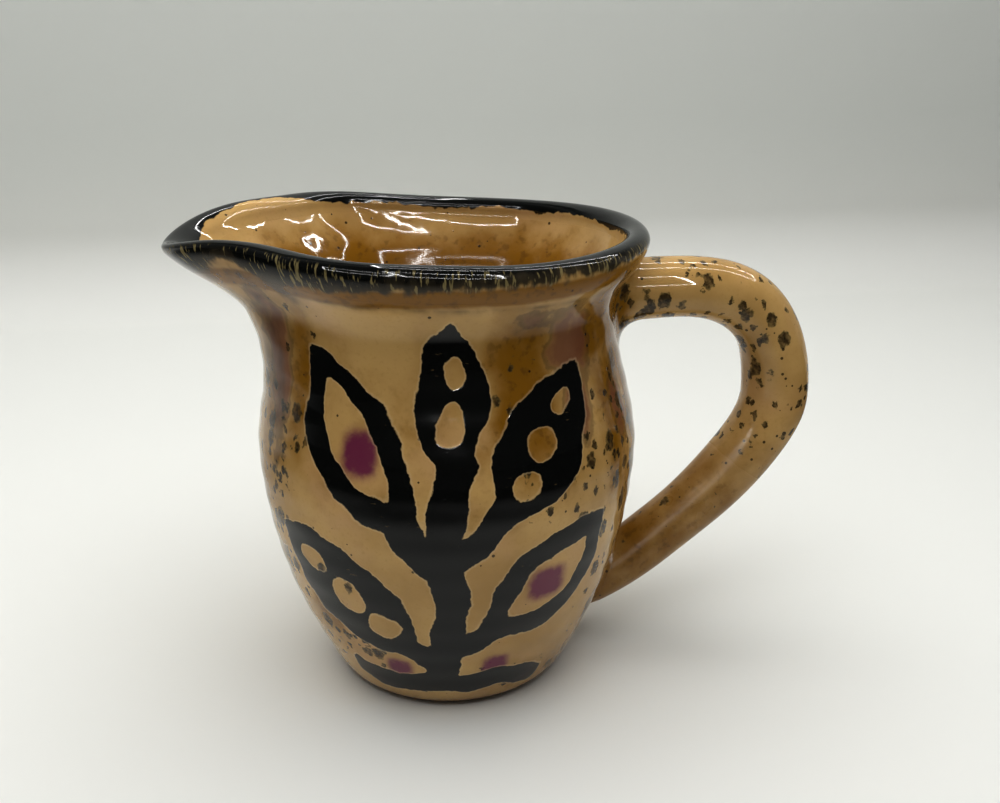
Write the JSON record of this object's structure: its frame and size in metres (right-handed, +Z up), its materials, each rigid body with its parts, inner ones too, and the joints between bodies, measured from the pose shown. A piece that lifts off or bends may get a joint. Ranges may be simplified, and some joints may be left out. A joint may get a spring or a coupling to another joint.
{
  "type": "ceramic creamer",
  "caption": "Small hand-thrown glazed jug with a bellied body, a spout pulled from its flared black-banded lip and a round loop handle opposite.",
  "frame": {"origin": "middle of the flat base, on the surface that the jug stands on", "axes": "+Z up along the thrown body's axis, +X towards the handle, -X towards the spout, +Y across the handle"},
  "size_m": [0.1327, 0.0772, 0.0969],
  "materials": {
    "tan_glaze": "gloss straw-tan glaze with olive speckle, amber washes and brushed black decoration",
    "black_glaze": "gloss black glaze, feathered with tan flecks at its lower edge"
  },
  "bodies": {
    "root": {"body": "tan_glaze", "rim_glaze_band": "black_glaze", "handle": "tan_glaze", "upper_luting_fillet": "tan_glaze", "lower_luting_fillet": "tan_glaze"}
  },
  "joints": []
}
